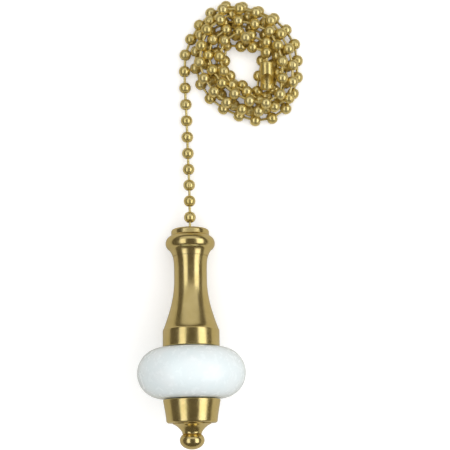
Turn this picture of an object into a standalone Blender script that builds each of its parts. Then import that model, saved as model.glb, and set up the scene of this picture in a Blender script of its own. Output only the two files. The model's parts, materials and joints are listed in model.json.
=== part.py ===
"""A ball-chain pull with a turned brass pendant and a white ceramic ring, as a set of separate solids.

Metres, +Z up. The pull lies on a table at Z = 0. The origin is the middle of the pendant's footprint.
The pendant points along Y, with its chain end at +Y, and rests on the rim of its ceramic ring and on the
lip of its cap, so its axis tips down towards the chain. The chain runs on along +Y into a flat coil.
"""
from math import acos, atan2, cos, degrees, pi, radians, sin

import bmesh
import bpy
from mathutils import Matrix, Vector, geometry

GAP = 0.0003            # clearance between pieces that touch on the real object

# Ball chain, number 6
BEAD_R = 0.0016
BEAD_WALL = 0.00035
BEAD_HOLE_R = 0.0008
BEAD_PITCH = 0.00445
PIN_R = 0.00035
PIN_HEAD_R = 0.00088
PIN_HEAD_INNER = 0.0003     # the head's near and far faces, from the bead's centre
PIN_HEAD_OUTER = 0.0006

# Pendant, as distances along its axis from the ring's centre, positive towards the chain
RING_CORE_R = 0.00765       # radius of the circle that the ring's round section is centred on
RING_SECTION_R = 0.0066
RING_BORE_R = 0.0042
CAP_TOP = 0.0384
CAP_BOTTOM = 0.0310
DISC_R = 0.0051
DISC_EDGE_R = 0.0007
DISC_FOOT = 0.0366
LIP_CORE_R = 0.0045
LIP_SECTION_R = 0.00215
LIP_PLACE = 0.0346
MOUTH_R = 0.0027
THROAT_R = 0.0011
THROAT_TOP = 0.0355
THROAT_BOTTOM = 0.0349
POCKET_R = 0.0022
MOUTH_BEAD_PLACE = 0.0374
ANCHOR_BEAD_PLACE = MOUTH_BEAD_PLACE - BEAD_PITCH
STUD_BOTTOM = 0.0250
SPINDLE_TOP = CAP_BOTTOM - GAP
NECK_R = 0.0044
NECK_FOOT = 0.0228
FLARE_FOOT = 0.0114
FLARE_R = 0.0074
COLLAR_R = 0.0075
COLLAR_BOTTOM = RING_SECTION_R + GAP
CUP_TOP = -(RING_SECTION_R + GAP)
CUP_FOOT = -0.0122
CUP_BOTTOM = -0.0129
CUP_TOP_R = 0.0075
CUP_FOOT_R = 0.00665
CUP_WALL = 0.0010
CUP_FLOOR = 0.0012
FINIAL_TOP = CUP_BOTTOM - GAP
FINIAL_FLANGE_R = 0.0050
FINIAL_NECK_R = 0.00265
FINIAL_NECK_PLACE = -0.0154
FINIAL_BALL_R = 0.0032
FINIAL_BALL_HALF = 0.00235
FINIAL_BALL_PLACE = -0.0173
ROD_R = 0.00155
ROD_HOLE_R = ROD_R + GAP
ROD_TOP = 0.0195
ROD_BOTTOM = -0.0169
GASKET_THICK = 0.0010
GASKET_R = 0.0068
LOWER_GASKET_R = 0.0060
SLEEVE_R = RING_BORE_R - GAP
SLEEVE_HALF = 0.0062
WASHER_R = 0.0050
WASHER_THICK = 0.0006
NUT_ACROSS_CORNERS = 0.0064
NUT_THICK = 0.0016

PENDANT_MIDDLE = 0.00955    # how far the ring's centre sits behind the middle of the pendant's footprint

# Chain lying on the table
COIL_CENTRE = Vector((0.0155, 0.0730, 0))
COIL_OUTER_R = 0.0178
COIL_INNER_R = 0.0042
COIL_HEIGHT = 0.0056        # two layers of chain, the upper one nested in the lower
FIRST_BEAD = Vector((0, 0.03135, 0.0053))
RUN_ROUTE = [           # centres along the straight stretch, from just past the first bead to the coil's edge
    (-0.00005, 0.0375, 0.0041), (-0.00015, 0.0420, 0.0030), (-0.0003, 0.0465, 0.00205),
    (-0.0004, 0.0510, 0.00165), (-0.0005, 0.0555, 0.0016), (-0.0006, 0.0590, 0.0016),
    (-0.0007, 0.0622, 0.0016),
]
RUN_POINTS = 14

# End coupling, lying on the lower layer in a pocket of the upper one, its free end towards the pendant
COUPLING_R = 0.00185
COUPLING_WALL = 0.00017
COUPLING_HOLE_R = 0.0008
COUPLING_X = 0.0215
COUPLING_END_Y = 0.0654
COUPLING_LENGTH = 0.0076
COUPLING_SLOT = 0.0012
COUPLING_ENTRY_R = 0.00165      # lets a bead in through the sleeve's side
COUPLING_PLAY = 0.00012     # between the caught bead and the sleeve's end
COUPLING_Z = 2 * BEAD_R + COUPLING_R
END_BEAD_Y = COUPLING_END_Y + COUPLING_LENGTH - COUPLING_WALL - BEAD_R - COUPLING_PLAY
LAST_BEAD_Y = END_BEAD_Y + BEAD_PITCH
COIL_EDGE = 0.0012
COIL_POCKET_SIDE = 0.0004       # room beside the coupling
COIL_POCKET_FRONT = 0.0024      # room in front of its free end
COIL_POCKET_FLOOR = 2 * BEAD_R - GAP

EMPTY_SIZE = 0.005

# Sides of the turned pieces
RING_STEPS = 40
BIG_STEPS = 32
WASHER_STEPS = 20
SMALL_STEPS = 12
COIL_STEPS = 48

BRASS = ("brass", (0.66, 0.52, 0.20, 1), 0.16, 1.0)
STEEL = ("steel", (0.55, 0.55, 0.56, 1), 0.35, 1.0)
CERAMIC = ("white_glaze", (0.90, 0.94, 0.95, 1), 0.12, 0.0)
RUBBER = ("rubber", (0.05, 0.05, 0.05, 1), 0.80, 0.0)
NYLON = ("nylon", (0.80, 0.78, 0.70, 1), 0.50, 0.0)


def arc(centre_r, centre_s, radius, start, end, steps, stretch=1.0):
    """Points (r, s) on an arc, its angles in degrees from +r towards +s; stretch scales it along s."""
    angles = [radians(start + (end - start) * i / steps) for i in range(steps + 1)]
    return [(centre_r + radius * cos(a), centre_s + radius * stretch * sin(a)) for a in angles]


def cubic(p0, p1, p2, p3, steps):
    """Points on a Bezier curve, without its first point."""
    points = geometry.interpolate_bezier(*[Vector((*p, 0)) for p in (p0, p1, p2, p3)], steps + 1)
    return [(p.x, p.y) for p in points[1:]]


def material(name, look):
    """A material of the piece's own, from a (kind, colour, roughness, metallic) look."""
    kind, colour, roughness, metallic = look
    made = bpy.data.materials.new(f"{name}_{kind}")
    made.use_nodes = True
    shader = made.node_tree.nodes["Principled BSDF"]
    shader.inputs["Base Color"].default_value = colour
    shader.inputs["Roughness"].default_value = roughness
    shader.inputs["Metallic"].default_value = metallic
    made.diffuse_color = colour
    return made


def add_object(name, mesh, look, parent=None):
    piece = bpy.data.objects.new(name, mesh)
    bpy.context.collection.objects.link(piece)
    mesh.materials.append(material(name, look))
    piece.parent = parent
    return piece


def turned(name, outline, look, parent, steps, closed=True):
    """A piece turned about its parent's Z axis from (r, s) points that run down its outer side.

    A closed outline goes round a bore; an open one starts and ends on the axis."""
    count = len(outline)
    edges = [(i, i + 1) for i in range(count - 1)]
    if closed:
        edges.append((count - 1, 0))
    mesh = bpy.data.meshes.new(name)
    mesh.from_pydata([(r, 0, s) for r, s in outline], edges, [])
    piece = add_object(name, mesh, look, parent)
    turning = piece.modifiers.new("turning", "SCREW")
    turning.steps = steps
    turning.render_steps = steps
    turning.use_smooth_shade = True
    turning.use_merge_vertices = True
    turning.merge_threshold = 0.00001
    return piece


def empty(name, place, axis):
    """An empty whose Z axis points along a piece's own axis, which is also its joint's."""
    holder = bpy.data.objects.new(name, None)
    holder.empty_display_size = EMPTY_SIZE
    turn = Vector(axis).to_track_quat("Z", "Y").to_matrix().to_4x4()
    holder.matrix_world = Matrix.Translation(place) @ turn
    bpy.context.collection.objects.link(holder)
    return holder


def cut(piece, cutter):
    """Takes the cutter away from the piece, and leaves the cutter as a wire guide."""
    cutter.hide_render = True
    cutter.display_type = "WIRE"
    change = piece.modifiers.new("cut", "BOOLEAN")
    change.operation = "DIFFERENCE"
    change.object = cutter


def add_cutter(name, form, parent):
    """A cutter from a bmesh, which it frees."""
    mesh = bpy.data.meshes.new(name)
    form.to_mesh(mesh)
    form.free()
    cutter = bpy.data.objects.new(name, mesh)
    bpy.context.collection.objects.link(cutter)
    cutter.parent = parent
    return cutter


def box_cutter(name, low, high, parent=None):
    form = bmesh.new()
    bmesh.ops.create_cube(form, size=1)
    size = Vector(high) - Vector(low)
    bmesh.ops.scale(form, verts=form.verts, vec=size)
    bmesh.ops.translate(form, verts=form.verts, vec=Vector(low) + size / 2)
    return add_cutter(name, form, parent)


def drill_cutter(name, radius, centre, depth, parent):
    """A drill along the parent's Y axis."""
    form = bmesh.new()
    bmesh.ops.create_cone(
        form, cap_ends=True, segments=SMALL_STEPS, radius1=radius, radius2=radius, depth=depth)
    bmesh.ops.rotate(form, verts=form.verts, matrix=Matrix.Rotation(pi / 2, 3, "X"))
    bmesh.ops.translate(form, verts=form.verts, vec=centre)
    return add_cutter(name, form, parent)


def pendant_tilt():
    """The angle at which the ring's rim and the cap's lip both touch the table."""
    across = RING_CORE_R - LIP_CORE_R
    rise = RING_SECTION_R - LIP_SECTION_R
    tilt = 0.0
    for _ in range(40):
        tilt = atan2(across * cos(tilt) + rise, LIP_PLACE * cos(tilt)) * 0.5 + tilt * 0.5
    return tilt


TILT = pendant_tilt()
RING_HEIGHT = RING_CORE_R * cos(TILT) + RING_SECTION_R
RING_CENTRE = Vector((0, -PENDANT_MIDDLE, RING_HEIGHT))
AXIS = Vector((0, cos(TILT), -sin(TILT)))


def on_axis(place):
    return RING_CENTRE + AXIS * place


def make_bead(name, centre, direction):
    """A hollow ball with a hole at each pole, its own Z axis along the chain."""
    holder = empty(f"{name}_centre", centre, direction)
    inner = BEAD_R - BEAD_WALL
    outer_turn = degrees(acos(BEAD_HOLE_R / BEAD_R))
    inner_turn = degrees(acos(BEAD_HOLE_R / inner))
    outline = arc(0, 0, BEAD_R, outer_turn, -outer_turn, 5) + arc(0, 0, inner, -inner_turn, inner_turn, 4)
    return turned(name, outline, BRASS, holder, SMALL_STEPS)


def make_pin(name, start, end):
    """A dumbbell pin from inside one bead to inside the next."""
    start, end = Vector(start), Vector(end)
    holder = empty(f"{name}_start", start, end - start)
    length = (end - start).length
    outline = [
        (0, length - PIN_HEAD_INNER), (PIN_HEAD_R, length - PIN_HEAD_INNER),
        (PIN_HEAD_R, length - PIN_HEAD_OUTER), (PIN_R, length - PIN_HEAD_OUTER),
        (PIN_R, PIN_HEAD_OUTER), (PIN_HEAD_R, PIN_HEAD_OUTER),
        (PIN_HEAD_R, PIN_HEAD_INNER), (0, PIN_HEAD_INNER),
    ]
    return turned(name, outline, BRASS, holder, SMALL_STEPS, closed=False)


def make_top_cap(axis):
    """The disc and rolled lip at the chain end, with a countersunk mouth, a throat and a bead pocket."""
    outline = [(MOUTH_R, CAP_TOP)]
    outline += arc(DISC_R - DISC_EDGE_R, CAP_TOP - DISC_EDGE_R, DISC_EDGE_R, 90, 0, 3)
    outline += [(DISC_R, DISC_FOOT + 0.0001)]
    outline += arc(LIP_CORE_R, LIP_PLACE, LIP_SECTION_R, 62, -48, 8)
    outline += [(0.0050, 0.0321), (0.0046, CAP_BOTTOM)]
    outline += [(POCKET_R, CAP_BOTTOM), (POCKET_R, THROAT_BOTTOM), (THROAT_R, THROAT_BOTTOM)]
    outline += [(THROAT_R, THROAT_TOP)]
    return turned("top_cap", outline, BRASS, axis, BIG_STEPS)


def make_spindle(axis):
    """Neck, cove flare and collar in one turning, with a stud hole on top and a rod hole below."""
    outline = [(POCKET_R, SPINDLE_TOP), (0.00455, SPINDLE_TOP), (NECK_R, 0.0300), (NECK_R, NECK_FOOT)]
    outline += cubic((NECK_R, NECK_FOOT), (NECK_R, 0.0188), (0.0060, 0.0152), (FLARE_R, FLARE_FOOT), 8)
    outline += [(COLLAR_R, FLARE_FOOT - 0.0003), (COLLAR_R, COLLAR_BOTTOM)]
    recess_r = GASKET_R + GAP
    recess_top = COLLAR_BOTTOM + GASKET_THICK + GAP
    outline += [(recess_r, COLLAR_BOTTOM), (recess_r, recess_top), (ROD_HOLE_R, recess_top)]
    outline += [(ROD_HOLE_R, ROD_TOP + GAP), (0, ROD_TOP + GAP)]
    lower = outline[1:]
    stud_floor = STUD_BOTTOM - GAP
    top = [(0, stud_floor), (POCKET_R, stud_floor), (POCKET_R, SPINDLE_TOP)]
    return turned("spindle", top + lower, BRASS, axis, BIG_STEPS, closed=False)


def make_neck_stud(axis):
    """The threaded slug that joins the cap to the spindle and closes the bead pocket."""
    radius = POCKET_R - GAP
    bevel = 0.0003
    outline = [
        (0, CAP_BOTTOM), (radius - bevel, CAP_BOTTOM), (radius, CAP_BOTTOM - bevel),
        (radius, STUD_BOTTOM + bevel), (radius - bevel, STUD_BOTTOM), (0, STUD_BOTTOM),
    ]
    return turned("neck_stud", outline, STEEL, axis, SMALL_STEPS, closed=False)


def make_washer(name, top, thickness, outer_r, bore_r, look, axis, steps=WASHER_STEPS):
    outline = [
        (bore_r, top), (outer_r, top), (outer_r, top - thickness), (bore_r, top - thickness),
    ]
    return turned(name, outline, look, axis, steps)


def make_ceramic_ring(axis):
    """A thick ring with a half-round outside, flat seats and a straight bore."""
    outline = [(RING_BORE_R, RING_SECTION_R)]
    outline += arc(RING_CORE_R, 0, RING_SECTION_R, 90, -90, 12)
    outline += [(RING_BORE_R, -RING_SECTION_R)]
    return turned("ceramic_ring", outline, CERAMIC, axis, RING_STEPS)


def make_threaded_rod(axis):
    bevel = 0.0003
    outline = [
        (0, ROD_TOP), (ROD_R - bevel, ROD_TOP), (ROD_R, ROD_TOP - bevel),
        (ROD_R, ROD_BOTTOM + bevel), (ROD_R - bevel, ROD_BOTTOM), (0, ROD_BOTTOM),
    ]
    return turned("threaded_rod", outline, STEEL, axis, SMALL_STEPS, closed=False)


def make_lower_cup(axis):
    """The tapered cup under the ring, open at the top, with a rod hole in its floor."""
    edge = CUP_FOOT - CUP_BOTTOM
    outline = [(CUP_TOP_R, CUP_TOP), (0.0070, -0.0091), (0.0068, -0.0107)]
    outline += arc(CUP_FOOT_R - edge, CUP_FOOT, edge, 0, -90, 3)
    outline += [(ROD_HOLE_R, CUP_BOTTOM), (ROD_HOLE_R, CUP_BOTTOM + CUP_FLOOR)]
    outline += [(CUP_FOOT_R - CUP_WALL, CUP_BOTTOM + CUP_FLOOR), (CUP_TOP_R - CUP_WALL, CUP_TOP)]
    return turned("lower_cup", outline, BRASS, axis, BIG_STEPS)


def make_clamp_nut(axis, top):
    """A hexagonal nut: a turned ring of six steps."""
    return make_washer("clamp_nut", top, NUT_THICK, NUT_ACROSS_CORNERS / 2, ROD_HOLE_R, STEEL, axis, 6)


def make_finial(axis):
    """The trumpet flange, neck and ball that screw onto the rod's lower end."""
    hole_floor = ROD_BOTTOM - GAP
    outline = [(0, hole_floor), (ROD_HOLE_R, hole_floor), (ROD_HOLE_R, FINIAL_TOP)]
    outline += [(FINIAL_FLANGE_R, FINIAL_TOP)]
    neck = (FINIAL_NECK_R, FINIAL_NECK_PLACE)
    outline += cubic((FINIAL_FLANGE_R, FINIAL_TOP), (0.0039, -0.0138), (0.0030, -0.0148), neck, 4)
    stretch = FINIAL_BALL_HALF / FINIAL_BALL_R
    ball = arc(0, FINIAL_BALL_PLACE, FINIAL_BALL_R, 45, -90, 8, stretch)
    ball[-1] = (0, FINIAL_BALL_PLACE - FINIAL_BALL_HALF)
    return turned("finial", outline + ball, BRASS, axis, BIG_STEPS, closed=False)


def make_pendant():
    axis = empty("pendant_axis", RING_CENTRE, AXIS)
    make_top_cap(axis)
    make_neck_stud(axis)
    make_spindle(axis)
    make_threaded_rod(axis)
    upper_top = COLLAR_BOTTOM + GASKET_THICK
    make_washer("upper_gasket", upper_top, GASKET_THICK, GASKET_R, ROD_HOLE_R, RUBBER, axis)
    make_ceramic_ring(axis)
    make_washer("centring_sleeve", SLEEVE_HALF, 2 * SLEEVE_HALF, SLEEVE_R, ROD_HOLE_R, NYLON, axis)
    make_washer("lower_gasket", CUP_TOP, GASKET_THICK, LOWER_GASKET_R, ROD_HOLE_R, RUBBER, axis)
    washer_top = CUP_TOP - GASKET_THICK - GAP
    make_washer("seat_washer", washer_top, WASHER_THICK, WASHER_R, ROD_HOLE_R, STEEL, axis)
    lock_top = washer_top - WASHER_THICK - GAP
    make_washer("lock_washer", lock_top, WASHER_THICK, NUT_ACROSS_CORNERS / 2, ROD_HOLE_R, STEEL, axis)
    make_clamp_nut(axis, lock_top - WASHER_THICK - GAP)
    make_lower_cup(axis)
    make_finial(axis)


def make_chain_tail():
    """The beads and pins that hold the pendant: one bead in the cap's mouth, one caught in its pocket."""
    mouth, anchor = on_axis(MOUTH_BEAD_PLACE), on_axis(ANCHOR_BEAD_PLACE)
    make_bead("mouth_bead", mouth, AXIS)
    make_bead("anchor_bead", anchor, AXIS)
    make_pin("tail_pin", anchor, mouth)
    make_bead("first_bead", FIRST_BEAD, FIRST_BEAD - mouth)
    make_pin("swing_pin", mouth, FIRST_BEAD)


def smooth_route(points, count):
    """Even points on a smooth curve through the given ones."""
    knots = [Vector(p) for p in points]
    ends = [knots[0] * 2 - knots[1]] + knots + [knots[-1] * 2 - knots[-2]]
    fine = []
    for before, start, end, after in zip(ends, ends[1:], ends[2:], ends[3:]):
        first, last = start + (end - before) / 6, end - (after - start) / 6
        fine += geometry.interpolate_bezier(start, first, last, end, 21)[:-1]
    fine.append(knots[-1])
    far = [0.0]
    for start, end in zip(fine, fine[1:]):
        far.append(far[-1] + (end - start).length)
    route, i = [], 0
    for step in range(count):
        wanted = far[-1] * step / (count - 1)
        while i < len(fine) - 2 and far[i + 1] < wanted:
            i += 1
        part = (wanted - far[i]) / (far[i + 1] - far[i])
        route.append(fine[i].lerp(fine[i + 1], min(part, 1)))
    return route


def make_chain_run():
    """The straight stretch of chain as one tube of the beads' diameter."""
    start = FIRST_BEAD + (Vector(RUN_ROUTE[0]) - FIRST_BEAD).normalized() * (BEAD_R + GAP)
    route = smooth_route([start] + RUN_ROUTE, RUN_POINTS)
    curve = bpy.data.curves.new("chain_run", "CURVE")
    curve.dimensions = "3D"
    curve.bevel_depth = BEAD_R
    curve.bevel_resolution = 2
    curve.use_fill_caps = True
    line = curve.splines.new("POLY")
    line.points.add(len(route) - 1)
    for point, place in zip(line.points, route):
        point.co = (*place, 1)
    return add_object("chain_run", curve, BRASS)


def make_chain_coil():
    """The coiled stretch as one flat ring, with a pocket, open to the hole, where the end coupling lies."""
    holder = empty("coil_centre", COIL_CENTRE, (0, 0, 1))
    flat_r = COIL_OUTER_R - COIL_EDGE
    outline = [
        (COIL_INNER_R, COIL_HEIGHT), (flat_r, COIL_HEIGHT), (COIL_OUTER_R, COIL_HEIGHT - COIL_EDGE),
        (COIL_OUTER_R, COIL_EDGE), (flat_r, 0), (COIL_INNER_R, 0),
    ]
    coil = turned("chain_coil", outline, BRASS, holder, COIL_STEPS)
    low = (COIL_CENTRE.x, COUPLING_END_Y - COIL_POCKET_FRONT, COIL_POCKET_FLOOR)
    right = COUPLING_X + COUPLING_R + COIL_POCKET_SIDE
    high = (right, LAST_BEAD_Y + BEAD_R + GAP, COIL_HEIGHT + BEAD_R)
    cut(coil, box_cutter("coil_pocket", low, high))
    return coil


def make_end_coupling():
    """The sleeve that takes the next chain's end bead: pierced ends, a side slot and an entry hole."""
    holder = empty("coupling_axis", (COUPLING_X, COUPLING_END_Y, COUPLING_Z), (0, 1, 0))
    inner = COUPLING_R - COUPLING_WALL
    far_face = COUPLING_LENGTH
    outline = [
        (COUPLING_HOLE_R, far_face), (COUPLING_R, far_face), (COUPLING_R, 0), (COUPLING_HOLE_R, 0),
        (COUPLING_HOLE_R, COUPLING_WALL), (inner, COUPLING_WALL),
        (inner, far_face - COUPLING_WALL), (COUPLING_HOLE_R, far_face - COUPLING_WALL),
    ]
    coupling = turned("end_coupling", outline, BRASS, holder, WASHER_STEPS)
    half = COUPLING_SLOT / 2
    caught = COUPLING_WALL + BEAD_R
    entry = caught + BEAD_R / 2
    low, high = (-half, 0, -COUPLING_WALL), (half, 2 * COUPLING_R, caught)
    cut(coupling, box_cutter("coupling_slot", low, high, holder))
    middle = (0, COUPLING_R, entry)
    cut(coupling, drill_cutter("coupling_entry", COUPLING_ENTRY_R, middle, 2 * COUPLING_R, holder))
    return coupling


def make_chain_end():
    """The last bead, and the one that the coupling holds, on their pin."""
    end_bead = (COUPLING_X, END_BEAD_Y, COUPLING_Z)
    last_bead = (COUPLING_X, LAST_BEAD_Y, COUPLING_Z)
    make_bead("end_bead", end_bead, (0, 1, 0))
    make_bead("last_bead", last_bead, (0, 1, 0))
    make_pin("end_pin", end_bead, last_bead)


for old in list(bpy.data.objects):
    bpy.data.objects.remove(old)
make_pendant()
make_chain_tail()
make_chain_run()
make_chain_coil()
make_end_coupling()
make_chain_end()
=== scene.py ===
"""The looks of a ball-chain pull: turned brass pendant, white ring, real ball chain and end coupling.

Metres, +Z up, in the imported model's frame: the pendant points along +Y with its chain end, and the chain
lies on the table at Z = 0. Turned outlines are (radius, place) pairs in millimetres, their places running
along the pendant's axis from the ring's centre towards the chain.
"""
import json
from math import acos, cos, degrees, pi, radians, sin, tan

import bmesh
import bpy
import numpy as np
from mathutils import Matrix, Vector


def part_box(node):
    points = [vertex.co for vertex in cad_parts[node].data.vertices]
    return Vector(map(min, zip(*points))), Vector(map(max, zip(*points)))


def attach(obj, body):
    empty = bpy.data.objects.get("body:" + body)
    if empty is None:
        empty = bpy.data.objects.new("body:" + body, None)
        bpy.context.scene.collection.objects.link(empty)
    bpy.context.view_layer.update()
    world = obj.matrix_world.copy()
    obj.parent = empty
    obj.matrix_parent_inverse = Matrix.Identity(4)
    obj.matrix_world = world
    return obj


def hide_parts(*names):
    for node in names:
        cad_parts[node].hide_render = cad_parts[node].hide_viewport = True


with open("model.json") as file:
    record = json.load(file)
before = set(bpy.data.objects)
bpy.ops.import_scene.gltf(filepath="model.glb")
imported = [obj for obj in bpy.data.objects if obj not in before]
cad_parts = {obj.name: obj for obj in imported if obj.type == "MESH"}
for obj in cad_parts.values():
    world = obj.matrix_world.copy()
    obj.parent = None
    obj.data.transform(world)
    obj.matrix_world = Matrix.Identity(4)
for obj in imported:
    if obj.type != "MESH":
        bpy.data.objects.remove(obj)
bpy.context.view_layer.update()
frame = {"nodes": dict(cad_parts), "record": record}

MM = 0.001

# Ball chain, number 6, in millimetres
BEAD_R = 1.6
BEAD_HOLE_R = 0.80              # as in the CAD, which leaves the pin room to tip by 16 degrees
BEAD_WALL = 0.30
HOLE_BEVEL = 0.12               # how much wider the ball's outside starts than its hole
HOLE_EDGE = 1.36                # from the ball's centre to the edge of its hole, along the chain
BEAD_PITCH = 4.45
PIN_R = 0.37
PIN_HEAD_R = 0.85
PIN_END = 0.45                  # from the ball's centre to the pin's end
PIN_HEAD_TOP = 0.60
PIN_HEAD_BASE = 0.85
BEAD_ROLL = 2.4                 # in radians, from one ball's seam to the next one's
SEAM_DEPTH = 0.05
SEAM_HALF_DEG = 4
SLEEVE_WALL = 0.17
SLEEVE_CORNER = 0.50
SLOT_WIDTH = 1.1
ENTRY_HOLE_R = 1.65

# Centres of the straight stretch, as in the CAD: from just past the first bead to the coil's edge
RUN_ROUTE = [
    (-0.00005, 0.0375, 0.0041), (-0.00015, 0.0420, 0.0030), (-0.0003, 0.0465, 0.00205),
    (-0.0004, 0.0510, 0.00165), (-0.0005, 0.0555, 0.0016), (-0.0006, 0.0590, 0.0016),
    (-0.0007, 0.0622, 0.0016),
]

# The coil, wound clockwise and inwards in two layers of tilted ovals, in millimetres and degrees
APPROACH = [(-0.9, 66.6), (-0.95, 71.0), (-0.4, 75.4), (1.2, 79.4)]     # up the coil's left side
COIL_MIDDLE = (16.5, 73.5)
HOLE_MIDDLE = (14.7, 72.7)
COIL_START_DEG = 197
COIL_SWEEP_DEG = 2631
COIL_STEP_DEG = 10
COIL_OUTER_R = (16.5, 13.4)     # long and short, to the balls' centres
COIL_INNER_R = (7.6, 5.7)
COIL_END_R = (8.1, 7.2)         # the last stretch, which lies on the innermost strand
OUTER_TILT_DEG = -48
INNER_TILT_DEG = -71
LAYER_RISE = 2.8
RAMP_TURNS = 0.16               # how much of a turn the chain takes to change layers
LAST_TURNS = 0.42               # how much of a turn the last stretch takes
SETTLE_ROUNDS = 300
HOLD = 0.05                     # how strongly a ball is drawn back to its row, until the last rounds
FREE_ROUNDS = 64                # the last rounds, without that draw
SLEEVE_ROOM = 0.30              # between the coupling and the balls round it
FIXED_BALLS = 8                 # the straight stretch, which keeps its route
APART_SHARE = 0.5               # how much of each fault one round puts right
PITCH_SHARE = 0.8
SLEEVE_SHARE = 0.5
SWING_STEPS = 3                 # places of the coupling that the balls are kept clear of

# Camera
CAMERA_PLACE = Vector((0.00945, 0.0291, 0.300))
CAMERA_ROLL_DEG = -1.0
TABLE_WIDTH_SEEN = 0.12375
SENSOR_WIDTH = 36.0

TABLE_SIZE = 0.9
TABLE_THICKNESS = 0.02

# Lights
BOX_DISTANCE = 0.62
BOX_LENGTH = 0.74
BOX_ALONG_DEG = -5
ROOM_COLOUR = (0.115, 0.10, 0.078)
BACKDROP_COLOUR = (0.93, 0.93, 0.93)


# ---------------------------------------------------------------- places taken from the frame

def centre_of(node):
    low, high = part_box(node)
    return (Vector(low) + Vector(high)) / 2


def joint(name):
    return next(j for j in frame["record"]["behaviour"]["joints"] if j["name"] == name)


PENDANT_AXIS = Vector(joint("pendant_spin")["axis"])
RING_CENTRE = centre_of("ceramic_ring")
MOUTH_BEAD = Vector(joint("pendant_spin")["pos_m"])
FIRST_BEAD = Vector(joint("link_swing")["pos_m"])
END_BEAD = Vector(joint("coupling_swing")["pos_m"])
LAST_BEAD = centre_of("last_bead")


# ---------------------------------------------------------------- shapes

def arc(centre_r, centre_s, radius, start, end, steps, stretch=1.0):
    """Points (r, s) on an arc, its angles in degrees from +r towards +s; stretch scales it along s."""
    angles = [radians(start + (end - start) * i / steps) for i in range(steps + 1)]
    return [(centre_r + radius * cos(a), centre_s + radius * stretch * sin(a)) for a in angles]


def bezier(p0, p1, p2, p3, steps):
    """Points on a cubic Bezier curve, with both its ends."""
    points = []
    for i in range(steps + 1):
        t = i / steps
        weights = (1 - t) ** 3, 3 * t * (1 - t) ** 2, 3 * t * t * (1 - t), t ** 3
        points.append(tuple(sum(w * p[k] for w, p in zip(weights, (p0, p1, p2, p3))) for k in (0, 1)))
    return points


def even_angles(count):
    return [2 * pi * i / count for i in range(count)]


def lathe(outline, angles, closed=True, dent=None):
    """Vertices and faces of a turned form, in metres, from (r, s) points that run down its outer side.

    A point on the axis becomes one vertex. dent maps an angle's index to a drop in radius."""
    vertices, rows = [], []
    dent = dent or {}
    for r, s in outline:
        first = len(vertices)
        if r < 1e-6:
            rows.append([first] * len(angles))
            vertices.append((0.0, 0.0, s * MM))
            continue
        rows.append(list(range(first, first + len(angles))))
        for i, a in enumerate(angles):
            out = (r - dent.get(i, 0)) * MM
            vertices.append((out * cos(a), out * sin(a), s * MM))
    faces = []
    pairs = list(zip(rows, rows[1:])) + ([(rows[-1], rows[0])] if closed else [])
    for upper, lower in pairs:
        for i in range(len(angles)):
            j = (i + 1) % len(angles)
            corners = [upper[i], lower[i], lower[j], upper[j]]
            face = [v for k, v in enumerate(corners) if v != corners[k - 1]]
            if len(face) > 2:
                faces.append(face)
    return vertices, faces


def turn_to(axis):
    """The smallest turn that takes +Z to the given axis."""
    return Vector((0, 0, 1)).rotation_difference(Vector(axis)).to_matrix()


def add_piece(name, form, look, body, origin=(0, 0, 0), axis=(0, 0, 1), sharp_deg=38):
    """A smooth-shaded piece with its own Z axis along the given axis, riding on a body."""
    vertices, faces = form
    mesh = bpy.data.meshes.new(name)
    mesh.from_pydata(vertices, [], faces)
    mesh.materials.append(look)
    mesh.shade_smooth()
    mesh.set_sharp_from_angle(angle=radians(sharp_deg))
    piece = bpy.data.objects.new(name, mesh)
    bpy.context.collection.objects.link(piece)
    piece.matrix_world = Matrix.Translation(origin) @ turn_to(axis).to_4x4()
    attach(piece, body)
    return piece


def carve(piece, cutters):
    """Cuts the cutters out of the piece, and removes them."""
    for cutter in cutters:
        change = piece.modifiers.new("carve", "BOOLEAN")
        change.operation = "DIFFERENCE"
        change.object = cutter
    bpy.context.view_layer.update()
    seen = piece.evaluated_get(bpy.context.evaluated_depsgraph_get())
    piece.data = bpy.data.meshes.new_from_object(seen)
    piece.modifiers.clear()
    for cutter in cutters:
        bpy.data.objects.remove(cutter)


# ---------------------------------------------------------------- materials

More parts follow.
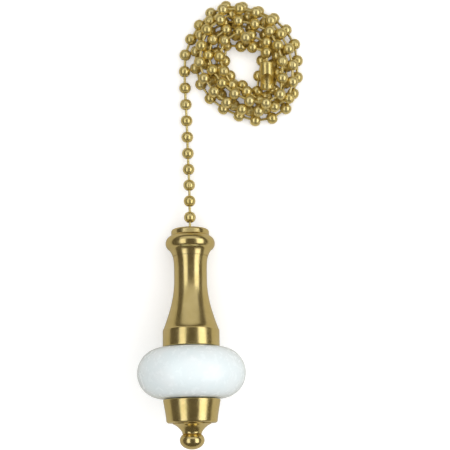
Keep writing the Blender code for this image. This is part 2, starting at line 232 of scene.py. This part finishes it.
class Nodes:
    """A material's node tree, with short ways to add and join nodes."""

    def __init__(self, name):
        self.material = bpy.data.materials.new(name)
        self.material.use_nodes = True
        self.tree = self.material.node_tree
        self.shader = self.tree.nodes["Principled BSDF"]
        self.place = self.add("ShaderNodeTexCoord").outputs["Object"]

    def add(self, kind, **settings):
        node = self.tree.nodes.new(kind)
        for key, value in settings.items():
            setattr(node, key, value)
        return node

    def join(self, source, target):
        self.tree.links.new(source, target)

    def noise(self, size, detail=3.0, roughness=0.55, place=None):
        """Noise whose features are about the given size in metres."""
        node = self.add("ShaderNodeTexNoise")
        node.inputs["Scale"].default_value = 1 / size
        node.inputs["Detail"].default_value = detail
        node.inputs["Roughness"].default_value = roughness
        self.join(place or self.place, node.inputs["Vector"])
        return node.outputs["Fac"]

    def spread(self, source, low, high, start=0.35, end=0.65):
        """The source's start to end stretched over low to high."""
        node = self.add("ShaderNodeMapRange")
        node.inputs["From Min"].default_value = start
        node.inputs["From Max"].default_value = end
        node.inputs["To Min"].default_value = low
        node.inputs["To Max"].default_value = high
        self.join(source, node.inputs["Value"])
        return node.outputs["Result"]

    def blend(self, source, first, second):
        """A colour between two, by the source."""
        node = self.add("ShaderNodeMix", data_type="RGBA")
        self.join(source, node.inputs["Factor"])
        for socket, colour in zip((node.inputs["A"], node.inputs["B"]), (first, second)):
            if isinstance(colour, tuple):
                socket.default_value = (*colour, 1)
            else:
                self.join(colour, socket)
        return node.outputs["Result"]

    def bump(self, source, height, before=None):
        node = self.add("ShaderNodeBump")
        node.inputs["Strength"].default_value = 1.0
        node.inputs["Distance"].default_value = height
        self.join(source, node.inputs["Height"])
        if before:
            self.join(before, node.inputs["Normal"])
        return node.outputs["Normal"]

    def along_axis(self):
        """A vector that changes only along the piece's own Z axis, for marks left by turning."""
        apart = self.add("ShaderNodeSeparateXYZ")
        self.join(self.place, apart.inputs["Vector"])
        together = self.add("ShaderNodeCombineXYZ")
        self.join(apart.outputs["Z"], together.inputs["Z"])
        return together.outputs["Vector"]

    def set(self, **values):
        for key, value in values.items():
            socket = self.shader.inputs[key.replace("_", " ")]
            if isinstance(value, bpy.types.NodeSocket):
                self.join(value, socket)
            else:
                socket.default_value = value
        return self.material


def turned_brass():
    """Polished, lacquered brass with faint turning rings, hairlines and a little amber in the lacquer."""
    n = Nodes("turned_brass")
    tint = n.blend(n.spread(n.noise(4.0 * MM), 0, 1), (0.77, 0.62, 0.26), (0.83, 0.68, 0.32))
    spots = n.spread(n.noise(0.9 * MM, 5), 0, 0.30, 0.62, 0.72)
    colour = n.blend(spots, tint, (0.56, 0.42, 0.17))
    rings = n.noise(0.16 * MM, 2, 0.6, n.along_axis())
    roughness = n.spread(n.noise(2.5 * MM, 4), 0.19, 0.26)
    normal = n.bump(n.noise(0.25 * MM, 3), 0.6e-6, n.bump(rings, 1.6e-6))
    return n.set(Base_Color=colour, Metallic=1.0, Roughness=roughness, Normal=normal)


def chain_brass():
    """Brass-plated, lacquered chain: duller than the pendant, each ball a little different."""
    n = Nodes("chain_brass")
    island = n.add("ShaderNodeNewGeometry").outputs["Random Per Island"]
    tint = n.blend(island, (0.93, 0.76, 0.29), (0.98, 0.83, 0.38))
    dull = n.spread(n.noise(0.7 * MM, 4), 0, 0.5, 0.55, 0.75)
    colour = n.blend(dull, tint, (0.76, 0.60, 0.22))
    roughness = n.spread(n.noise(0.6 * MM, 4), 0.27, 0.36)
    normal = n.bump(n.noise(0.22 * MM, 3), 2.0e-6)
    return n.set(Base_Color=colour, Metallic=0.95, Roughness=roughness, Normal=normal)


def white_glaze():
    """Thick white glaze with a cool cast and a soft unevenness."""
    n = Nodes("white_glaze")
    cloud = n.spread(n.noise(6.0 * MM, 2), 0, 1)
    colour = n.blend(cloud, (0.845, 0.945, 0.98), (0.88, 0.955, 0.985))
    waves = n.bump(n.noise(5.0 * MM, 1), 4e-6)
    roughness = n.spread(n.noise(1.5 * MM, 3), 0.20, 0.30)
    return n.set(
        Base_Color=colour, Roughness=roughness, Normal=waves, Coat_Weight=0.4, Coat_Roughness=0.12)


def plated_steel():
    n = Nodes("plated_steel")
    rings = n.noise(0.12 * MM, 2, 0.6, n.along_axis())
    colour = n.blend(n.spread(n.noise(1.5 * MM, 4), 0, 1), (0.50, 0.50, 0.51), (0.62, 0.61, 0.58))
    roughness = n.spread(rings, 0.26, 0.42)
    return n.set(Base_Color=colour, Metallic=1.0, Roughness=roughness, Normal=n.bump(rings, 4e-6))


def black_rubber():
    n = Nodes("black_rubber")
    grain = n.noise(0.12 * MM, 4)
    colour = n.blend(n.spread(grain, 0, 1), (0.018, 0.018, 0.019), (0.045, 0.044, 0.042))
    return n.set(Base_Color=colour, Roughness=0.75, Normal=n.bump(grain, 10e-6))


def nylon():
    n = Nodes("nylon")
    grain = n.noise(0.2 * MM, 3)
    colour = n.blend(n.spread(grain, 0, 1), (0.74, 0.71, 0.60), (0.82, 0.80, 0.71))
    return n.set(Base_Color=colour, Roughness=0.45, Normal=n.bump(grain, 4e-6))


def white_table():
    """A smooth white board that glows a little, so that shadows on it stay pale.

    In reflections it is a dimmer, warmer board: the photograph's brass mirrors no bright table."""
    n = Nodes("white_table")
    grain = n.noise(0.8 * MM, 3)
    mirrored = n.add("ShaderNodeLightPath").outputs["Is Glossy Ray"]
    plain = n.blend(n.spread(grain, 0, 1), (0.90, 0.90, 0.90), (0.92, 0.92, 0.92))
    colour = n.blend(mirrored, plain, (0.50, 0.47, 0.40))
    glow = n.spread(mirrored, 0.27, 0.0, 0, 1)
    return n.set(
        Base_Color=colour, Roughness=0.7, Emission_Color=(1, 1, 1, 1), Emission_Strength=glow)


BRASS = turned_brass()
CHAIN = chain_brass()


# ---------------------------------------------------------------- the pendant

def turned_part(name, outline, look, closed=True, sides=144):
    """A piece turned about the pendant's axis, which stands for the CAD node of the same name."""
    form = lathe(outline, even_angles(sides), closed)
    piece = add_piece(f"{name}_fine", form, look, "pendant", RING_CENTRE, PENDANT_AXIS)
    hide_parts(name)
    return piece


def make_top_cap():
    """Disc and rolled lip, with the mouth, throat and pocket of the chain's end inside."""
    outline = arc(2.45, 38.25, 0.15, 180, 90, 4) + arc(4.45, 37.75, 0.65, 90, 0, 8)
    outline += arc(5.35, 36.90, 0.25, 180, 243, 4)
    outline += arc(4.5, 34.6, 2.13, 66, -42, 22)
    outline += bezier((5.75, 33.0), (5.35, 32.5), (5.0, 31.9), (4.72, 31.02), 6)
    outline += [(2.2, 31.0), (2.2, 34.9), (1.1, 34.9), (1.1, 35.5)]
    return turned_part("top_cap", outline, BRASS)


def make_spindle():
    """Neck, cove flare and collar band."""
    outline = bezier((4.68, 30.93), (4.5, 30.2), (4.42, 29.2), (4.38, 27.5), 6)
    outline += bezier((4.38, 25.0), (4.38, 20.4), (5.3, 17.0), (7.25, 11.65), 22)
    outline += arc(7.3, 11.2, 0.2, 60, 0, 3)
    outline += [(7.5, 10.9)] + arc(7.35, 7.0, 0.15, 0, -90, 4)
    outline += [(7.1, 6.85), (7.1, 8.2), (1.85, 8.2), (1.85, 19.8), (0, 19.8)]
    top = [(0, 24.7), (2.2, 24.7), (2.2, 30.93)]
    return turned_part("spindle", top + outline, BRASS, closed=False)


def make_ceramic_ring():
    """Half-round outside, seats that melt into it, and a straight bore."""
    outline = [(4.2, 6.6)] + arc(7.65, 0, 6.6, 90, -90, 72) + [(4.2, -6.6)]
    return turned_part("ceramic_ring", outline, white_glaze(), sides=192)


def make_lower_cup():
    outline = [(6.5, -6.85)] + arc(7.37, -6.98, 0.13, 90, 0, 3)
    outline += bezier((7.49, -7.2), (7.3, -8.3), (6.9, -10.2), (6.72, -11.9), 10)
    outline += arc(6.05, -12.25, 0.65, 0, -90, 7)
    outline += [(1.85, -12.9), (1.85, -11.7), (5.6, -11.7)]
    return turned_part("lower_cup", outline, BRASS)


def make_finial():
    """Trumpet flange, neck and ball."""
    outline = [(0, -17.2), (1.85, -17.2), (1.85, -12.95), (4.9, -12.95)] + arc(4.9, -13.05, 0.1, 90, -20, 3)
    outline += bezier((4.95, -13.15), (3.9, -13.55), (3.1, -14.4), (2.62, -15.15), 12)
    ball = arc(0, -17.3, 3.2, 47, -90, 26, 2.35 / 3.2)
    ball[-1] = (0, -19.65)
    outline += arc(2.95, -15.45, 0.42, 150, 205, 4) + ball
    return turned_part("finial", outline, BRASS, closed=False)


def finish_hidden_parts():
    """Materials of the CAD parts that stay as they are, inside the pendant."""
    looks = {
        plated_steel(): ("neck_stud", "threaded_rod", "seat_washer", "lock_washer", "clamp_nut"),
        black_rubber(): ("upper_gasket", "lower_gasket"),
        nylon(): ("centring_sleeve",),
    }
    for look, nodes in looks.items():
        for node in nodes:
            frame["nodes"][node].material_slots[0].material = look


# ---------------------------------------------------------------- the chain

def bead_form():
    """A hollow ball, pierced at both poles, with a fine seam down one side."""
    inner = BEAD_R - BEAD_WALL
    outer_turn = degrees(acos((BEAD_HOLE_R + HOLE_BEVEL) / BEAD_R))
    inner_turn = degrees(acos(BEAD_HOLE_R / inner))
    outline = arc(0, 0, BEAD_R, outer_turn, -outer_turn, 14)
    outline += [(BEAD_HOLE_R, -HOLE_EDGE)] + arc(0, 0, inner, -inner_turn, inner_turn, 6)
    outline += [(BEAD_HOLE_R, HOLE_EDGE)]
    seam = radians(SEAM_HALF_DEG)
    angles = [0, seam] + even_angles(22)[1:] + [2 * pi - seam]
    return lathe(outline, angles, dent={0: SEAM_DEPTH})


def pin_form(length):
    """A dumbbell pin from one ball's centre to the next, waisted in the middle."""
    head, shank = length - PIN_END, length - PIN_HEAD_BASE
    outline = [(0, head), (PIN_HEAD_R * 0.8, head), (PIN_HEAD_R, head - 0.15), (PIN_R, shank)]
    outline += [(PIN_R * 0.88, length / 2)]
    outline += [(PIN_R, PIN_HEAD_BASE), (PIN_HEAD_R, PIN_HEAD_TOP), (PIN_HEAD_R * 0.8, PIN_END), (0, PIN_END)]
    return lathe(outline, even_angles(12), closed=False)


def moved(form, origin, axis, roll=0.0):
    """The form with its Z axis along the given one, as plain coordinates."""
    vertices, faces = form
    turn = turn_to(axis) @ Matrix.Rotation(roll, 3, "Z")
    points = np.array(vertices) @ np.array(turn).T + np.array(origin)
    return [tuple(p) for p in points.tolist()], faces


def merged(forms):
    vertices, faces = [], []
    for points, sides in forms:
        first = len(vertices)
        vertices += points
        faces += [[first + i for i in side] for side in sides]
    return vertices, faces


def catmull_rom(points, steps):
    """A smooth curve through the points."""
    knots = [np.array(p, float) for p in points]
    ends = [2 * knots[0] - knots[1]] + knots + [2 * knots[-1] - knots[-2]]
    curve = []
    for a, b, c, d in zip(ends, ends[1:], ends[2:], ends[3:]):
        for i in range(steps):
            t = i / steps
            curve.append(0.5 * (2 * b + (c - a) * t + (2 * a - 5 * b + 4 * c - d) * t * t
                                + (3 * b - a - 3 * c + d) * t ** 3))
    curve.append(knots[-1])
    return np.array(curve)


def layer(turns):
    """0 on the lower layer and 1 on the upper: the chain changes over at the start of each turn."""
    turn, part = divmod(turns, 1)
    now = turn % 2
    if turn == 0 or part > RAMP_TURNS:
        return now
    share = part / RAMP_TURNS
    smooth = share * share * (3 - 2 * share)
    return (1 - now) + (2 * now - 1) * smooth


def between(first, last, part):
    return tuple(a + (b - a) * part for a, b in zip(first, last))


def coil_route():
    """Centres along the coil, spiralling in clockwise from the straight stretch to the last bead."""
    points = [(x * MM, y * MM, BEAD_R * MM) for x, y in APPROACH]
    inward_turns = COIL_SWEEP_DEG / 360 - LAST_TURNS
    for turned_deg in range(0, COIL_SWEEP_DEG, COIL_STEP_DEG):
        turns = turned_deg / 360
        part = min(turns / inward_turns, 1)
        outward = max(turns - inward_turns, 0) / LAST_TURNS
        long_r, short_r = between(between(COIL_OUTER_R, COIL_INNER_R, part), COIL_END_R, outward)
        tilt = radians(OUTER_TILT_DEG + (INNER_TILT_DEG - OUTER_TILT_DEG) * part)
        middle_x, middle_y = between(COIL_MIDDLE, HOLE_MIDDLE, part)
        angle = radians(COIL_START_DEG - turned_deg)
        along, across = long_r * cos(angle), short_r * sin(angle)
        x = middle_x + along * cos(tilt) - across * sin(tilt)
        y = middle_y + along * sin(tilt) + across * cos(tilt)
        points.append((x * MM, y * MM, (BEAD_R + LAYER_RISE * layer(turns)) * MM))
    return points


def bead_places(curve):
    """Even places along the curve, a ball's pitch apart, both ends included."""
    steps = np.linalg.norm(np.diff(curve, axis=0), axis=1)
    far = np.concatenate([[0], np.cumsum(steps)])
    count = round(far[-1] / (BEAD_PITCH * MM))
    wanted = np.linspace(0, far[-1], count + 1)
    return np.stack([np.interp(wanted, far, curve[:, k]) for k in range(3)], axis=1)


def apart_push(p, first, second, gap):
    """Moves that part the balls nearer than the gap, half of it for each ball of a pair."""
    push = np.zeros_like(p)
    apart = p[second] - p[first]
    far = np.linalg.norm(apart, axis=1)
    close = far < gap
    move = apart[close] * ((gap - far[close]) / far[close] * 0.5)[:, None] * APART_SHARE
    np.add.at(push, second[close], move)
    np.add.at(push, first[close], -move)
    return push


def pitch_push(p):
    """Moves that draw each ball back towards a pitch from the next."""
    push = np.zeros_like(p)
    link = np.diff(p, axis=0)
    length = np.linalg.norm(link, axis=1)
    pull = link * ((length - BEAD_PITCH * MM) / length * 0.5)[:, None] * PITCH_SHARE
    push[:-1] += pull
    push[1:] -= pull
    return push


def sleeve_push(p):
    """Moves that part the balls, all but the last, from the coupling, all through its swing."""
    push = np.zeros_like(p)
    low, high = (Vector(corner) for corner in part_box("end_coupling"))
    gap = BEAD_R * MM + (high.x - low.x) / 2 + SLEEVE_ROOM * MM
    balls = p[:-1]
    for swing in np.linspace(0, radians(joint("coupling_swing")["range_deg"][1]), SWING_STEPS):
        way = np.array([-np.sin(swing), -np.cos(swing), 0])
        along = np.clip((balls - np.array(END_BEAD)) @ way, END_BEAD.y - high.y, END_BEAD.y - low.y)
        away = balls - (np.array(END_BEAD) + along[:, None] * way)
        far = np.linalg.norm(away, axis=1)
        hit = far < gap
        push[:-1][hit] += away[hit] * ((gap - far[hit]) / far[hit])[:, None] * SLEEVE_SHARE
    return push


def settled(places):
    """The balls pushed apart where the rows crowd them and drawn to a pitch from the next, on the table.

    The rounds end before every push is met, so some balls still cut a little into their neighbours."""
    p = places.copy()
    count = len(p)
    first, second = np.triu_indices(count, 2)
    fixed = np.zeros(count, bool)
    fixed[:FIXED_BALLS] = True
    fixed[-1] = True
    for left in range(SETTLE_ROUNDS, 0, -1):
        push = apart_push(p, first, second, 2 * BEAD_R * MM) + pitch_push(p) + sleeve_push(p)
        if left > FREE_ROUNDS:
            push += (places - p) * HOLD
        push[fixed] = 0
        p += push
        p[:, 2] = np.maximum(p[:, 2], BEAD_R * MM)
    return p


def chain_mesh(places):
    """Balls and pins along the chain, as one form."""
    ball, forms = bead_form(), []
    for i, place in enumerate(places):
        before, after = places[max(i - 1, 0)], places[min(i + 1, len(places) - 1)]
        forms.append(moved(ball, place, after - before, roll=BEAD_ROLL * i))
    for start, end in zip(places, places[1:]):
        length = float(np.linalg.norm(end - start)) / MM
        forms.append(moved(pin_form(length), start, end - start))
    return merged(forms)


def make_chain(end_pieces):
    """The whole free chain, from the first ball outside the cap to the last one before the coupling."""
    knots = [tuple(FIRST_BEAD)] + RUN_ROUTE + coil_route() + [tuple(LAST_BEAD)]
    places = settled(bead_places(catmull_rom(knots, 12)))
    places = np.vstack([places, np.array(END_BEAD)])
    form = chain_mesh(places[:-1])
    pin = moved(pin_form(float(np.linalg.norm(places[-1] - places[-2])) / MM), places[-2],
                places[-1] - places[-2])
    chain = add_piece("ball_chain", merged([form, pin]), CHAIN, "chain")
    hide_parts("first_bead", "chain_run", "chain_coil", "last_bead", "end_pin")
    return chain


def make_chain_tail():
    """The balls and pins between the free chain and the pendant."""
    anchor = centre_of("anchor_bead")
    for name, centre in (("mouth_bead", MOUTH_BEAD), ("anchor_bead", anchor)):
        bead = add_piece(f"{name}_fine", bead_form(), CHAIN, "tail", centre, PENDANT_AXIS)
        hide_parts(name)
    for name, body, start, end in (
        ("tail_pin", "tail", anchor, MOUTH_BEAD), ("swing_pin", "link", MOUTH_BEAD, FIRST_BEAD),
    ):
        form = pin_form((end - start).length / MM)
        pin = add_piece(f"{name}_fine", form, CHAIN, body, start, end - start)
        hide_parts(name)


def make_end_pieces():
    """The ball that the coupling holds, and the coupling: a rolled sleeve with a slot and an entry hole."""
    bead = add_piece("end_bead_fine", bead_form(), CHAIN, "end_joint", END_BEAD, (0, 1, 0))
    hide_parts("end_bead")
    low, high = (Vector(corner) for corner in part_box("end_coupling"))
    radius, length = (high.x - low.x) / 2 / MM, (high.y - low.y) / MM
    wall, hole, corner = SLEEVE_WALL, BEAD_HOLE_R, SLEEVE_CORNER
    inner = radius - wall
    outline = [(hole, length)] + arc(radius - corner, length - corner, corner, 90, 0, 6)
    outline += arc(radius - corner, corner, corner, 0, -90, 6) + [(hole, 0), (hole, wall)]
    inside = corner - wall
    outline += arc(inner - inside, wall + inside, inside, -90, 0, 4)
    outline += arc(inner - inside, length - wall - inside, inside, 0, 90, 4) + [(hole, length - wall)]
    origin = Vector(((low.x + high.x) / 2, low.y, (low.z + high.z) / 2))
    sleeve = add_piece("coupling_fine", lathe(outline, even_angles(64)), CHAIN, "coupling",
                       origin, (0, 1, 0))
    carve(sleeve, coupling_cutters(sleeve, radius, wall))
    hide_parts("end_coupling")
    return [bead, sleeve]


def coupling_cutters(sleeve, radius, wall):
    """A slot from the free end and the round hole that a ball goes in through."""
    entry = wall + 1.5 * BEAD_R
    cutters = []
    for kind in ("slot", "hole"):
        form = bmesh.new()
        if kind == "slot":
            bmesh.ops.create_cube(form, size=1)
            bmesh.ops.scale(form, verts=form.verts, vec=(SLOT_WIDTH, radius * 2, entry + wall))
            bmesh.ops.translate(form, verts=form.verts, vec=(0, -radius, (entry - wall) / 2))
        else:
            bmesh.ops.create_cone(form, cap_ends=True, segments=40, radius1=ENTRY_HOLE_R,
                                  radius2=ENTRY_HOLE_R, depth=2 * radius)
            bmesh.ops.rotate(form, verts=form.verts, matrix=Matrix.Rotation(pi / 2, 3, "X"))
            bmesh.ops.translate(form, verts=form.verts, vec=(0, -radius, entry))
        bmesh.ops.scale(form, verts=form.verts, vec=(MM, MM, MM))
        mesh = bpy.data.meshes.new(f"coupling_{kind}")
        form.to_mesh(mesh)
        form.free()
        cutter = bpy.data.objects.new(mesh.name, mesh)
        bpy.context.collection.objects.link(cutter)
        cutter.matrix_world = sleeve.matrix_world.copy()
        cutters.append(cutter)
    return cutters


# ---------------------------------------------------------------- table, lights and camera

def make_table():
    """The white table, a thin slab with its top at Z = 0."""
    form = bmesh.new()
    bmesh.ops.create_cube(form, size=1)
    bmesh.ops.scale(form, verts=form.verts, vec=(TABLE_SIZE, TABLE_SIZE, TABLE_THICKNESS))
    bmesh.ops.translate(form, verts=form.verts, vec=(0, 0, -TABLE_THICKNESS / 2))
    mesh = bpy.data.meshes.new("table")
    form.to_mesh(mesh)
    form.free()
    mesh.materials.append(white_table())
    table = bpy.data.objects.new("table", mesh)
    bpy.context.collection.objects.link(table)


def add_light(name, across_deg, along_deg, distance, width, length, radiance, shine=True, tip=False):
    """An area light leaning from straight up, across (about Y) and along (towards +Y).

    Without tip it leans only across. Without shine the brass doesn't mirror it."""
    light = bpy.data.lights.new(name, "AREA")
    light.shape = "RECTANGLE"
    light.size = width
    light.size_y = length
    light.energy = radiance * pi * width * length
    lamp = bpy.data.objects.new(name, light)
    bpy.context.collection.objects.link(lamp)
    way = Vector((tan(radians(across_deg)), tan(radians(along_deg)), 1)).normalized()
    lamp.location = way * distance
    lamp.rotation_euler = (-radians(along_deg) if tip else 0, radians(across_deg), 0)
    lamp.visible_glossy = shine
    return lamp


def make_lights():
    """Two long soft boxes either side and a wide one past the coil, which the brass mirrors, and a broad top
    light that it doesn't. The room is dim and warm, and only the camera sees its pale backdrop."""
    add_light("left_box", -33, BOX_ALONG_DEG, BOX_DISTANCE, 0.30, BOX_LENGTH, 1.15)
    add_light("right_box", 48, BOX_ALONG_DEG, BOX_DISTANCE, 0.36, BOX_LENGTH, 1.5)
    add_light("far_glow", 0, 48, 0.75, 1.30, 0.50, 0.50, tip=True)
    add_light("top_fill", 8, 0, 0.80, 1.10, 1.10, 1.50, shine=False)
    world = bpy.data.worlds.new("room")
    world.use_nodes = True
    tree = world.node_tree
    tree.nodes.clear()
    output = tree.nodes.new("ShaderNodeOutputWorld")
    choice = tree.nodes.new("ShaderNodeMixShader")
    ray = tree.nodes.new("ShaderNodeLightPath")
    for slot_index, colour in ((1, ROOM_COLOUR), (2, BACKDROP_COLOUR)):
        glow = tree.nodes.new("ShaderNodeBackground")
        glow.inputs["Color"].default_value = (*colour, 1)
        tree.links.new(glow.outputs["Background"], choice.inputs[slot_index])
    tree.links.new(ray.outputs["Is Camera Ray"], choice.inputs["Fac"])
    tree.links.new(choice.outputs["Shader"], output.inputs["Surface"])
    bpy.context.scene.world = world


def make_camera():
    """Straight down from about 0.3 m, as the photograph was taken."""
    camera = bpy.data.cameras.new("camera")
    camera.sensor_width = SENSOR_WIDTH
    camera.lens = SENSOR_WIDTH * CAMERA_PLACE.z / TABLE_WIDTH_SEEN
    camera.clip_start = 0.01
    eye = bpy.data.objects.new("camera", camera)
    bpy.context.collection.objects.link(eye)
    eye.location = CAMERA_PLACE
    eye.rotation_euler = (0, 0, radians(CAMERA_ROLL_DEG))
    bpy.context.scene.camera = eye


bpy.context.scene.view_settings.view_transform = "Standard"
make_camera()
make_lights()
make_table()
make_top_cap()
make_spindle()
make_ceramic_ring()
make_lower_cup()
make_finial()
finish_hidden_parts()
make_chain(make_end_pieces())
make_chain_tail()
